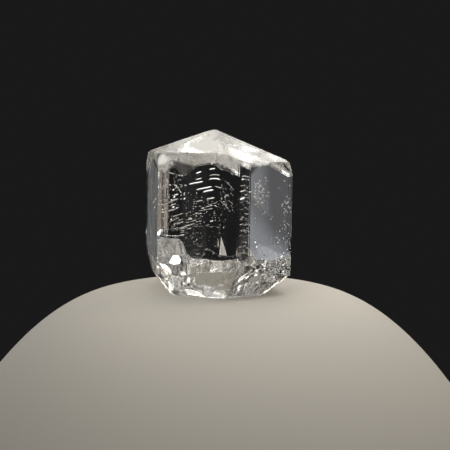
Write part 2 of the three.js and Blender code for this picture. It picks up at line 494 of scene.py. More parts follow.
@dataclass
class BrokenRoot:
    """The rough surface along which the root broke."""

    breaks: tuple[Break, ...] = (
        Break(188.0, 3.9, 40.0),
        Break(192.0, 4.4, 58.0),
        Break(184.0, 4.85, 69.0),
        Break(-125.0, 4.28, 62.0),
        Break(-103.0, 3.72, 62.0),
        Break(-60.0, 4.05, 54.0),
        Break(-5.0, 4.9, 38.0),
        Break(25.0, 5.0, 45.0),
        Break(72.5, 5.47, 54.0, ribs=0.08, texture=MILKY_BREAK),
        Break(134.0, 5.04, 67.0, texture=SMOOTH_BREAK),
        Break(160.0, 4.3, 50.0),
    )
    cups: tuple[Cup, ...] = (
        Cup(-3.27, -5.5, -3.84, 5.0),
        Cup(4.15, -5.65, 0.28, 2.6),
        Cup(-4.9, 5.0, 0.1, 2.4, ROUGH_BREAK),
        Cup(4.4, 6.2, 0.2, 2.2),
        Cup(0.2, 8.8, 0.2, 2.3),
    )
    chips: tuple[Cup, ...] = (
        Cup(4.42, -4.28, 2.57, 0.38, GLASSY),
        Cup(4.8, -3.85, 2.3, 0.42, GLASSY),
        Cup(5.19, -3.42, 2.05, 0.4, GLASSY),
        Cup(4.98, -3.95, 2.55, 0.36, GLASSY),
        Cup(4.53, -3.77, 2.0, 0.36, GLASSY),
        Cup(5.36, -3.57, 2.4, 0.34, GLASSY),
        Cup(5.6, -2.98, 1.8, 0.36, GLASSY),
    )
    soften: float = 0.15
    swell: float = 0.16
    swell_spacing: float = 2.4
    rough: float = 0.045
    rough_spacing: float = 0.4
    span: float = 22.0
    cell: float = 0.08
    depth: float = 2.0
    foot_clearance: float = 0.1

    def forms(self) -> tuple[Break | Cup, ...]:
        """Every plane and hollow of the root."""
        return (*self.breaks, *self.cups, *self.chips)

    def height(self, x: np.ndarray, y: np.ndarray) -> np.ndarray:
        """Height of the broken surface above the foot; the foot stays where it is below 0.

        Args:
            x: places along X.
            y: places along Y.

        Returns:
            The heights.
        """
        forms = np.array([form.height(x, y) for form in self.forms()])
        joined = self.soften * np.logaddexp.reduce(forms / self.soften, axis=0)
        level = np.column_stack((x, y, np.zeros_like(x)))
        return joined + self.swell * grain(level, self.swell_spacing)

    def textures(self, points: np.ndarray) -> np.ndarray:
        """How the broken surface looks: the form that lies highest there sets it.

        Args:
            points: places on the broken surface, three coordinates to a row.

        Returns:
            The frost, grain and film at each place, three to a row; the film is a brown tint that
            is partly painted shade.
        """
        forms = self.forms()
        heights = np.array([form.height(points[:, 0], points[:, 1]) for form in forms])
        return np.array([astuple(form.texture) for form in forms])[heights.argmax(axis=0)]

    def roughen(self, mesh: bpy.types.Mesh) -> None:
        """Works fine grain into the broken faces, inwards, and leaves the foot flat.

        Args:
            mesh: the crystal, in millimetres.
        """
        form = bmesh.new()
        form.from_mesh(mesh)
        form.normal_update()
        inner = [
            vertex for vertex in form.verts
            if all(face.material_index == Surface.BROKEN.value for face in vertex.link_faces)
        ]
        points = np.array([vertex.co for vertex in inner])
        graininess = self.textures(points)[:, 1]
        depths = self.rough * (grain(points, self.rough_spacing) - 1.0) * graininess
        for vertex, depth in zip(inner, depths.tolist()):
            vertex.co += vertex.normal * depth
            vertex.co.z = max(vertex.co.z, 0.0)
        form.to_mesh(mesh)
        form.free()

    def build(self) -> bpy.types.Mesh:
        """All that broke off: a slab below the foot, raised to the broken surface.

        Returns:
            The closed slab, in millimetres.
        """
        count = round(self.span / self.cell) + 1
        line = np.linspace(-self.span / 2.0, self.span / 2.0, count)
        x, y = (grid.ravel() for grid in np.meshgrid(line, line))
        top = np.maximum(self.height(x, y), -self.foot_clearance)
        upper = np.column_stack((x, y, top))
        lower = np.column_stack((x, y, np.full_like(x, -self.depth)))
        rows, columns = (grid.ravel() for grid in np.mgrid[0 : count - 1, 0 : count - 1])
        corner = rows * count + columns
        lid = np.column_stack((corner, corner + 1, corner + count + 1, corner + count))
        floor = lid[:, ::-1] + count * count
        rim = self.rim(count)
        following = np.roll(rim, -1)
        wall = np.column_stack((rim, rim + count * count, following + count * count, following))
        mesh = bpy.data.meshes.new("broken_off")
        points = np.vstack((upper, lower))
        faces = np.vstack((lid, floor, wall))
        mesh.from_pydata(points.tolist(), [], faces.tolist())
        mesh.validate()
        for slot in Surface:
            mesh.materials.append(slot.material())
        Surface.BROKEN.cover(mesh)
        LOG.info("broken root: %d faces in the tool", len(mesh.polygons))
        return mesh

    @staticmethod
    def rim(count: int) -> np.ndarray:
        """Indices round the border of a square grid of points, counter-clockwise from above.

        Args:
            count: points along one side.

        Returns:
            The indices.
        """
        side = np.arange(count - 1)
        last = count - 1
        return np.concatenate((
            side,
            side * count + last,
            last * count + (last - side),
            (last - side) * count,
        ))


class Socket:
    """A node's output or a plain number, with the arithmetic that builds Math nodes."""

    def __init__(self, tree: "Tree", source: "bpy.types.NodeSocket | float") -> None:
        """Wraps an output socket or a number, for the tree that new nodes go to."""
        self.tree = tree
        self.source = source

    def maths(self, operation: str, other: "Socket | float", swapped: bool = False) -> "Socket":
        """Adds one Math node; `swapped` says whether the operands change places."""
        operands = (other, self) if swapped else (self, other)
        return self.tree.add("ShaderNodeMath", {"operation": operation}, dict(enumerate(operands)))

    def __add__(self, other: "Socket | float") -> "Socket":
        """Sum."""
        return self.maths("ADD", other)

    __radd__ = __add__

    def __sub__(self, other: "Socket | float") -> "Socket":
        """Difference."""
        return self.maths("SUBTRACT", other)

    def __rsub__(self, other: "Socket | float") -> "Socket":
        """Difference with the operands the other way round."""
        return self.maths("SUBTRACT", other, swapped=True)

    def __mul__(self, other: "Socket | float") -> "Socket":
        """Product."""
        return self.maths("MULTIPLY", other)

    __rmul__ = __mul__

    def __lt__(self, other: "Socket | float") -> "Socket":
        """1 where it is below the other, else 0."""
        return self.maths("LESS_THAN", other)

    def __gt__(self, other: "Socket | float") -> "Socket":
        """1 where it is above the other, else 0."""
        return self.maths("GREATER_THAN", other)


class Tree:
    """A node tree that is filled one node at a time."""

    def __init__(self, nodes: bpy.types.NodeTree) -> None:
        """Takes the tree to fill."""
        self.nodes = nodes

    def add(
        self, kind: str, settings: dict | None = None, inputs: dict | None = None,
        output: int | str = 0,
    ) -> Socket:
        """Adds a node.

        Args:
            kind: the node's type.
            settings: properties that are set before the sockets.
            inputs: values or links, by the socket's name or number.
            output: name or number of the output that is wanted.

        Returns:
            That output, wrapped; its node is `source.node`.
        """
        node = self.nodes.nodes.new(kind)
        for key, value in (settings or {}).items():
            setattr(node, key, value)
        for key, value in (inputs or {}).items():
            if isinstance(value, Socket):
                self.nodes.links.new(value.source, node.inputs[key])
            else:
                node.inputs[key].default_value = value
        return Socket(self, node.outputs[output] if len(node.outputs) else 0.0)

    def axis(self, vector: Socket, number: int) -> Socket:
        """One coordinate of a vector: 0 is x, 1 is y and 2 is z."""
        return self.add("ShaderNodeSeparateXYZ", None, {"Vector": vector}, number)

    def vector(self, *axes: Socket | float) -> Socket:
        """The vector of three coordinates."""
        return self.add("ShaderNodeCombineXYZ", None, dict(enumerate(axes)))


def emptied(owner: bpy.types.Material | bpy.types.World | bpy.types.Light) -> Tree:
    """Turns the nodes of a material, the world or a lamp on and clears them away.

    Args:
        owner: what has the nodes.

    Returns:
        Its empty tree.
    """
    owner.use_nodes = True
    owner.node_tree.nodes.clear()
    return Tree(owner.node_tree)


# A mark's section and its lengthwise parts, the size of its ends, how far its full width
# reaches, and beyond what share of its half length a point counts as an end.
SIDES = 4
SEGMENTS = 3
TIP = 0.12
SHANK = 0.65
END = 0.9

# Sockets that are reached by number, as they share their names with sockets of other types:
# the Random Value node's limits and result, then the Mix node's colours and result.
LOW, HIGH, DRAWN = 2, 3, 1
CLEAN, FILMED_AND_SHADED, MIXED = 6, 7, 2


class Draw(Enum):
    """What a mark draws by chance; the number keeps each draw apart from the others."""

    KEPT = 1
    ALONG = 2
    RELIEF = 3
    LENGTH = 4
    WIDTH = 5
    UP = 6


@dataclass
class FaceMarks:
    """Small forms strewn over a flat face in rows, made by one Geometry Nodes tree.

    The rows climb to a crest and fall beyond it. Each mark is a spindle with long facets
    that lies in the face's own frame: x along it, y up and z outwards.
    """

    name: str
    face: PrismFace
    rows: int
    columns: int
    left: float
    right: float
    top: float
    spacing: float
    share: float
    length: tuple[float, float]
    width: tuple[float, float]
    relief: tuple[float, float]
    jitter: float
    seed: int
    climb: float = 0.0
    fall: float = 0.0
    crest: float = 0.0
    jitter_up: float = 0.0
    turn: float = 0.0
    sunk: float = 0.3

    def inputs(self) -> dict[str, float]:
        """The values of the tree's inputs.

        Returns:
            The values by name; those that are whole numbers get whole-number sockets.
        """
        field_height = self.spacing * (self.rows - 1)
        return {
            "Rows": self.rows,
            "Columns": self.columns,
            "Width of the field": self.right - self.left,
            "Height of the field": field_height,
            "Middle along": (self.left + self.right) / 2.0,
            "Middle up": self.top - field_height / 2.0,
            "Climb": math.radians(self.climb),
            "Fall": math.radians(self.fall),
            "Crest": self.crest,
            "Share": self.share,
            "Shortest": self.length[0],
            "Longest": self.length[1],
            "Narrowest": self.width[0],
            "Widest": self.width[1],
            "Lowest": self.relief[0],
            "Highest": self.relief[1],
            "Jitter": self.jitter,
            "Jitter up": self.jitter_up,
            "Turn": math.radians(self.turn),
            "Sunk": self.sunk,
            "Seed": self.seed,
        }

    @staticmethod
    def ridge(tree: Tree) -> Socket:
        """Adds the nodes of one ridge: a bar of diamond section along x with pointed ends.

        Args:
            tree: the tree.

        Returns:
            The ridge, from -1 to 1 in each direction.
        """
        bar = tree.add("GeometryNodeMeshCylinder", {"fill_type": "TRIANGLE_FAN"}, {
            "Vertices": SIDES, "Side Segments": SEGMENTS, "Fill Segments": 1, "Radius": 1.0,
            "Depth": 2.0,
        })
        place = tree.add("GeometryNodeInputPosition")
        across, out, along = (tree.axis(place, number) for number in range(3))
        end = tree.add("ShaderNodeMath", {"operation": "ABSOLUTE"}, {0: along}) > END
        narrowing = 1.0 - end * (1.0 - TIP)
        stretched = along * (end + (1.0 - end) * (SEGMENTS * SHANK))
        shaped = tree.vector(stretched, across * narrowing, out * narrowing)
        return tree.add("GeometryNodeSetPosition", None, {"Geometry": bar, "Position": shaped})

    @staticmethod
    def spindles(tree: Tree, share: dict[str, Socket]) -> Socket:
        """Adds the nodes that lay the ridges.

        Args:
            tree: the tree.
            share: the tree's inputs by name.

        Returns:
            The spindles, as instances.
        """
        field_size = {
            "Size X": share["Width of the field"], "Size Y": share["Height of the field"],
            "Vertices X": share["Columns"], "Vertices Y": share["Rows"],
        }
        grid = tree.add("GeometryNodeMeshGrid", None, field_size)

        def random(low: Socket | float, high: Socket | float, draw: Draw) -> Socket:
            """A random number for each mark."""
            limits = {LOW: low, HIGH: high, "Seed": share["Seed"] + float(draw.value)}
            return tree.add("FunctionNodeRandomValue", {"data_type": "FLOAT"}, limits, DRAWN)

        thrown_out = {"Geometry": grid, "Selection": random(0.0, 1.0, Draw.KEPT) > share["Share"]}
        kept = tree.add("GeometryNodeDeleteGeometry", {"domain": "POINT"}, thrown_out)
        place = tree.add("GeometryNodeInputPosition")
        stray = share["Jitter"] * random(-1.0, 1.0, Draw.ALONG)
        along = tree.axis(place, 0) + share["Middle along"] + stray
        tilt = FaceMarks.tilt(along, share)
        tangent = tree.add("ShaderNodeMath", {"operation": "TANGENT"}, {0: tilt})
        relief = random(share["Lowest"], share["Highest"], Draw.RELIEF)
        row = tree.axis(place, 1) + share["Middle up"] + tangent * (along - share["Crest"])
        up = row + share["Jitter up"] * random(-1.0, 1.0, Draw.UP)
        target = tree.vector(along, up, 0.0 - relief * share["Sunk"])
        moved = tree.add("GeometryNodeSetPosition", None, {"Geometry": kept, "Position": target})
        size = tree.vector(
            random(share["Shortest"], share["Longest"], Draw.LENGTH) * 0.5,
            random(share["Narrowest"], share["Widest"], Draw.WIDTH) * 0.5,
            relief,
        )
        here = tree.axis(tree.add("GeometryNodeInputPosition"), 0)
        turned = tree.vector(0.0, 0.0, FaceMarks.tilt(here, share) + share["Turn"])
        return tree.add("GeometryNodeInstanceOnPoints", None, {
            "Points": moved, "Instance": FaceMarks.ridge(tree), "Rotation": turned, "Scale": size,
        })

    @staticmethod
    def tilt(along: Socket, share: dict[str, Socket]) -> Socket:
        """The angle at which a row climbs to its crest, or falls beyond it, at a place along it."""
        before = along < share["Crest"]
        return before * share["Climb"] - (1.0 - before) * share["Fall"]

    def build(self) -> bpy.types.Mesh:
        """Evaluates the tree for this face.

        Returns:
            The spindles as one mesh, on the upright crystal, in millimetres.
        """
        nodes = bpy.data.node_groups.new(self.name, "GeometryNodeTree")
        nodes.interface.new_socket("Geometry", in_out="OUTPUT", socket_type="NodeSocketGeometry")
        identifiers = {
            name: nodes.interface.new_socket(
                name, in_out="INPUT",
                socket_type="NodeSocketInt" if isinstance(value, int) else "NodeSocketFloat",
            ).identifier
            for name, value in self.inputs().items()
        }
        tree = Tree(nodes)
        entry = nodes.nodes.new("NodeGroupInput")
        share = {name: Socket(tree, entry.outputs[name]) for name in identifiers}
        solid = tree.add("GeometryNodeRealizeInstances", None, {0: self.spindles(tree, share)})
        dressed = tree.add("GeometryNodeSetMaterial", None, {
            "Geometry": solid, "Material": Surface.FACES.material(),
        })
        tree.add("NodeGroupOutput", None, {0: dressed})
        carrier = new_object(self.name, bpy.data.meshes.new(self.name))
        modifier = carrier.modifiers.new("marks", "NODES")
        modifier.node_group = nodes
        for name, value in self.inputs().items():
            modifier[identifiers[name]] = value
        mesh = applied(carrier, self.name)
        drop(carrier)
        mesh.transform(self.face.placement())
        LOG.info("%s: %d facets", self.name, len(mesh.polygons))
        return mesh


@dataclass(frozen=True)
class ClearCrystal:
    """Colourless glassy mineral: clear on its faces, frosted and filmed where the root is broken;
    the film is a brown tint that is partly painted shade.

    Each grain and each kind of patch has its scale, per metre, and its detail.
    """

    name: str = "clear_crystal"
    clean: tuple[float, float, float] = (1.0, 1.0, 1.0)
    # The film is a brown tint of the broken root, in specks and clouds, and partly painted shade:
    # it darkens the root where shade falls under the crystal.
    film: tuple[float, float, float] = (0.3, 0.22, 0.13)
    film_share: float = 0.9
    film_grain: tuple[float, float] = (3600.0, 4.0)
    film_patches: tuple[float, float] = (240.0, 1.0)
    refraction: float = 1.66
    absorbed: tuple[float, float, float] = (0.86, 0.88, 0.88)
    absorption: float = 12.0
    roughness: tuple[float, float] = (0.1, 0.5)
    patches: tuple[float, float] = (420.0, 2.0)
    spread: tuple[float, float] = (0.38, 0.66)
    bump_grain: tuple[float, float] = (3000.0, 2.0)
    bump_depth: float = 0.02 * MM

    def build(self) -> bpy.types.Material:
        """Makes the material.

        Returns:
            The material.
        """
        material = bpy.data.materials.new(self.name)
        tree = emptied(material)
        place = tree.add("ShaderNodeTexCoord", None, None, "Object")
        frost, rough, filmed_and_shaded = (
            tree.add("ShaderNodeAttribute", {"attribute_name": quality.name}, None, "Fac")
            for quality in fields(Texture)
        )
        patches = self.mottle(tree, place, self.patches)
        specks = self.mottle(tree, place, self.film_grain)
        clouds = self.mottle(tree, place, self.film_patches)
        low, high = self.roughness
        # Painted shade, partly: the brown film darkens the broken root's colour in specks and
        # clouds.
        colour = tree.add("ShaderNodeMix", {"data_type": "RGBA"}, {
            "Factor": filmed_and_shaded * specks * clouds * self.film_share,
            CLEAN: (*self.clean, 1.0), FILMED_AND_SHADED: (*self.film, 1.0),
        }, MIXED)
        normal = tree.add("ShaderNodeBump", None, {
            "Strength": 1.0, "Distance": self.bump_depth,
            "Height": rough * self.spots(tree, place, self.bump_grain),
        })
        shader = tree.add("ShaderNodeBsdfPrincipled", None, {
            "Base Color": colour,
            "IOR": self.refraction,
            "Transmission Weight": 1.0,
            "Roughness": frost * (patches * (high - low) + low),
            "Normal": normal,
        })
        volume = tree.add("ShaderNodeVolumeAbsorption", None, {
            "Color": (*self.absorbed, 1.0), "Density": self.absorption,
        })
        tree.add("ShaderNodeOutputMaterial", None, {"Surface": shader, "Volume": volume})
        return material

    def mottle(self, tree: Tree, place: Socket, pattern: tuple[float, float]) -> Socket:
        """Adds noise that is spread to the whole range from 0 to 1.

        Args:
            tree: the tree.
            place: the coordinates.
            pattern: its scale and its detail.

        Returns:
            The noise.
        """
        low, high = self.spread
        return tree.add("ShaderNodeMapRange", {"interpolation_type": "SMOOTHSTEP"}, {
            "Value": self.spots(tree, place, pattern), "From Min": low, "From Max": high,
        })

    @staticmethod
    def spots(tree: Tree, place: Socket, pattern: tuple[float, float]) -> Socket:
        """Adds plain noise.

        Args:
            tree: the tree.
            place: the coordinates.
            pattern: its scale and its detail.

        Returns:
            The noise.
        """
        scale, detail = pattern
        settings = {"Vector": place, "Scale": scale, "Detail": detail}
        return tree.add("ShaderNodeTexNoise", None, settings, "Fac")


@dataclass(frozen=True)
class PaleStone:
    """Plain pale matt finish of the floor."""

    name: str = "pale_floor"
    colour: tuple[float, float, float] = (0.435, 0.412, 0.373)
    roughness: float = 0.75

    def build(self) -> bpy.types.Material:
        """Makes the material.

        Returns:
            The material.
        """
        material = bpy.data.materials.new(self.name)
        tree = emptied(material)
        shader = tree.add("ShaderNodeBsdfPrincipled", None, {
            "Base Color": (*self.colour, 1.0), "Roughness": self.roughness,
        })
        tree.add("ShaderNodeOutputMaterial", None, {"Surface": shader})
        return material


@dataclass(frozen=True)
class Stroke:
    """A single ridge on a flat face, straight or bowed; points are (along, up) in millimetres."""

    face: PrismFace
    start: tuple[float, float]
    end: tuple[float, float]
    width: float = 0.13
    relief: float = 0.07
    bow: float = 0.0
    steps: int = 6
    sunk: float = 0.3

    def build(self) -> bpy.types.Mesh:
        """Sweeps a diamond section along the line.

        Returns:
            The ridge, on the upright crystal.
        """
        start, end = Vector(self.start), Vector(self.end)
        side = Vector((start.y - end.y, end.x - start.x)).normalized()
        form = bmesh.new()
        rings = []
        for step in range(self.steps + 1):
            share = step / self.steps
            spot = start.lerp(end, share) + side * (self.bow * 4.0 * share * (1.0 - share))
            size = TIP if step in (0, self.steps) else 1.0
            aside = side * (self.width / 2.0 * size)
            middle = -self.relief * self.sunk
            rings.append([
                form.verts.new((spot.x + aside.x, spot.y + aside.y, middle)),
                form.verts.new((spot.x, spot.y, middle + self.relief * size)),
                form.verts.new((spot.x - aside.x, spot.y - aside.y, middle)),
                form.verts.new((spot.x, spot.y, middle - self.relief * size)),
            ])
        for near, far in zip(rings, rings[1:]):
            for corner in range(SIDES):
                after = (corner + 1) % SIDES
                form.faces.new((near[corner], far[corner], far[after], near[after]))
        form.faces.new(rings[0])
        form.faces.new(reversed(rings[-1]))
        bmesh.ops.recalc_face_normals(form, faces=form.faces)
        mesh = mesh_from("stroke", form)
        mesh.materials.append(Surface.FACES.material())
        mesh.transform(self.face.placement())
        return mesh


@dataclass(frozen=True)
class Crack:
    """A thin flat gap inside the upright crystal; its corners are in millimetres."""

    corners: tuple[tuple[float, float, float], ...]
    gap: float = 0.04

    def build(self) -> bpy.types.Mesh:
        """The closed sliver that the gap leaves out.

        Returns:
            The sliver, on the leaning crystal.
        """
        corners = [Vector(corner) for corner in self.corners]
        across = (corners[1] - corners[0]).cross(corners[2] - corners[0]).normalized() * self.gap
        form = bmesh.new()
        near = [form.verts.new(corner) for corner in corners]
        far = [form.verts.new(corner + across) for corner in corners]
        form.faces.new(near[::-1])
        form.faces.new(far)
        for place in range(len(corners)):
            after = (place + 1) % len(corners)
            form.faces.new((near[place], near[after], far[after], far[place]))
        bmesh.ops.recalc_face_normals(form, faces=form.faces)
        mesh = mesh_from("crack", form)
        mesh.materials.append(Surface.FACES.material())
        mesh.transform(leaning())
        return mesh


@dataclass
class Crystal:
    """The whole crystal: flat faces, growth marks and the broken root in one mesh."""

    faces: FlatFaces = field(default_factory=FlatFaces)
    root: BrokenRoot = field(default_factory=BrokenRoot)
    finish: ClearCrystal = ClearCrystal()
    flatness: float = 2.0
    edges: Texture = WORN
    crispness: float = 0.25
    marks: tuple[FaceMarks | Stroke, ...] = ()
    cracks: tuple[Crack, ...] = ()

    def build(self) -> bpy.types.Object:
        """Joins and cuts the parts, leans the crystal and stands it on its foot.

        Returns:
            The finished piece.
        """
        solid = self.faces.build()
        for marks in self.marks:
            solid = combine(solid, marks.build(), Join.ADD)
        Surface.FACES.cover(solid)
        solid.transform(leaning())
        solid = combine(solid, self.below_ground(), Join.CUT)
        solid = combine(solid, self.root.build(), Join.CUT)
        solid = self.largest_body(solid)
        self.root.roughen(solid)
        for crack in self.cracks:
            solid = combine(solid, crack.build(), Join.CUT)
        self.mark_textures(solid)
        self.stand(solid)
        self.level_normals(solid)
        Surface.FACES.cover(solid)
        solid.name = NODE
        piece = new_object("crystal", solid)
        solid.materials.clear()
        solid.materials.append(self.finish.build())
        LOG.info("crystal: %d faces", len(solid.polygons))
        return piece

    @staticmethod
    def below_ground() -> bpy.types.Mesh:
        """A block below the plane of the foot.

        Returns:
            The block, in millimetres.
        """
        form = bmesh.new()
        bmesh.ops.create_cube(form, size=BLOCK)
        bmesh.ops.translate(form, verts=form.verts, vec=-UP * BLOCK / 2.0)
        return mesh_from("below_ground", form)

    @staticmethod
    def largest_body(mesh: bpy.types.Mesh) -> bpy.types.Mesh:
        """Deletes the slivers that a cut leaves beside the crystal.

        Args:
            mesh: the crystal with its slivers.

        Returns:
            The same mesh, with its largest connected part alone.
        """
        form = bmesh.new()
        form.from_mesh(mesh)
        unseen = set(form.verts)
        bodies = []
        while unseen:
            stack = [unseen.pop()]
            body = []
            while stack:
                vertex = stack.pop()
                body.append(vertex)
                for edge in vertex.link_edges:
                    other = edge.other_vert(vertex)
                    if other in unseen:
                        unseen.discard(other)
                        stack.append(other)
            bodies.append(body)
        bodies.sort(key=len)
        for body in bodies[:-1]:
            bmesh.ops.delete(form, geom=body, context="VERTS")
        form.to_mesh(mesh)
        form.free()
        LOG.info("crystal: %d slivers dropped", len(bodies) - 1)
        return mesh

    def mark_textures(self, mesh: bpy.types.Mesh) -> None:
        """Writes the texture of each polygon into attributes named after the texture's fields.

        Args:
            mesh: the crystal, with its broken faces in their slot.
        """
        broken = self.broken(mesh)
        middles = read(mesh.polygons, "center", 3)
        nearest, level, _ = self.nearest_faces(mesh)
        flat = np.array([astuple(face.texture) for face in self.faces.all()])
        values = np.where(level[:, None], flat[nearest], np.array(astuple(self.edges)))
        values[broken] = self.root.textures(middles[broken])
        for column, quality in enumerate(fields(Texture)):
            written = mesh.attributes.new(quality.name, "FLOAT", "FACE")
            written.data.foreach_set("value", values[:, column].astype(np.float32))

    @staticmethod
    def broken(mesh: bpy.types.Mesh) -> np.ndarray:
        """Whether each polygon lies on the broken root."""
        return read(mesh.polygons, "material_index", kind=np.int32) == Surface.BROKEN.value

    def nearest_faces(self, mesh: bpy.types.Mesh) -> tuple[np.ndarray, np.ndarray, np.ndarray]:
        """Finds which flat face each polygon belongs to.

        Args:
            mesh: the crystal.

        Returns:
            The flat face's number, whether the polygon lies in it, and the polygon's normal.
        """
        normals = read(mesh.polygons, "normal", 3)
        likeness = normals @ self.faces.normals().T
        level = likeness.max(axis=1) > math.cos(math.radians(self.flatness))
        return likeness.argmax(axis=1), level, normals

    def level_normals(self, mesh: bpy.types.Mesh) -> None:
        """Gives flat faces their exact normals, and the broken ones partly smoothed normals.

        Args:
            mesh: the crystal.
        """
        nearest, level, normals = self.nearest_faces(mesh)
        broken = self.broken(mesh)
        flat = level & ~broken
        normals[flat] = self.faces.normals()[nearest[flat]]
        count = len(mesh.polygons)
        owner = np.repeat(np.arange(count), read(mesh.polygons, "loop_total", kind=np.int32))
        points = read(mesh.loops, "vertex_index", kind=np.int32)
        rough = broken[owner]
        smooth = np.zeros((len(mesh.vertices), 3))
        areas = read(mesh.polygons, "area")[owner[rough], None]
        np.add.at(smooth, points[rough], normals[owner[rough]] * areas)
        smooth /= np.maximum(np.linalg.norm(smooth, axis=1), TINY)[:, None]
        corner = normals[owner]
        softened = (1.0 - self.crispness) * smooth[points[rough]]
        corner[rough] = softened + self.crispness * corner[rough]
        corner /= np.linalg.norm(corner, axis=1)[:, None]
        mesh.polygons.foreach_set("use_smooth", np.ones(count, dtype=bool))
        mesh.normals_split_custom_set(corner.tolist())

    @staticmethod
    def stand(mesh: bpy.types.Mesh) -> None:
        """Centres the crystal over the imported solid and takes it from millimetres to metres.

        Args:
            mesh: the crystal.
        """
        low, high = (Vector(corner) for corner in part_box(NODE))
        points = read(mesh.vertices, "co", 3)
        middle = (points.min(axis=0) + points.max(axis=0)) / 2.0
        target = (low + high) / 2.0
        shift = Vector((target.x - middle[0] * MM, target.y - middle[1] * MM, 0.0))
        mesh.transform(Matrix.Translation(shift) @ Matrix.Scale(MM, 4))


WARM_WHITE = (1.0, 0.985, 0.95)
COOL_WHITE = (0.96, 0.97, 1.0)


@dataclass(frozen=True)
class SoftPanel:
    """A rectangular lamp that faces the crystal; sizes in millimetres."""

    name: str
    azimuth: float
    elevation: float
    distance: float
    width: float
    height: float
    radiance: float
    colour: tuple[float, float, float] = (1.0, 1.0, 1.0)
    offset: tuple[float, float] = (0.0, 0.0)
    roll: float = 0.0
    fade: float = 0.0

    def build(self, target: Vector) -> None:
        """Makes the lamp.

        Args:
            target: the point that it faces.
        """
        lamp = bpy.data.lights.new(self.name, "AREA")
        lamp.shape = "RECTANGLE"
        lamp.size = self.width * MM
        lamp.size_y = self.height * MM
        lamp.energy = self.radiance * math.pi * lamp.size * lamp.size_y
        lamp.color = self.colour
        thing = new_object(self.name, lamp)
        away = direction(self.azimuth, 90.0 - self.elevation)
        turn = (-away).to_track_quat("-Z", "Y")
        aside = turn @ Vector((*self.offset, 0.0))
        thing.location = target + (away * self.distance + aside) * MM
        thing.rotation_mode = "QUATERNION"
        roll = Matrix.Rotation(math.radians(self.roll), 3, "Z")
        thing.rotation_quaternion = turn @ roll.to_quaternion()
        thing.visible_camera = False
        if self.fade:
            self.soften(lamp)

    def soften(self, lamp: bpy.types.AreaLight) -> None:
        """Lets the lamp fade towards the edge on its own +X side.

        Args:
            lamp: the lamp.
        """
        tree = emptied(lamp)
        across = tree.axis(tree.add("ShaderNodeNewGeometry", None, None, "Parametric"), 0)
        strength = tree.add("ShaderNodeMapRange", {"interpolation_type": "SMOOTHSTEP"}, {
            "Value": across, "From Min": 1.0, "From Max": 1.0 - self.fade,
        })
        glow = tree.add(
            "ShaderNodeEmission", None, {"Color": (*self.colour, 1.0), "Strength": strength}
        )
        tree.add("ShaderNodeOutputLight", None, {"Surface": glow})


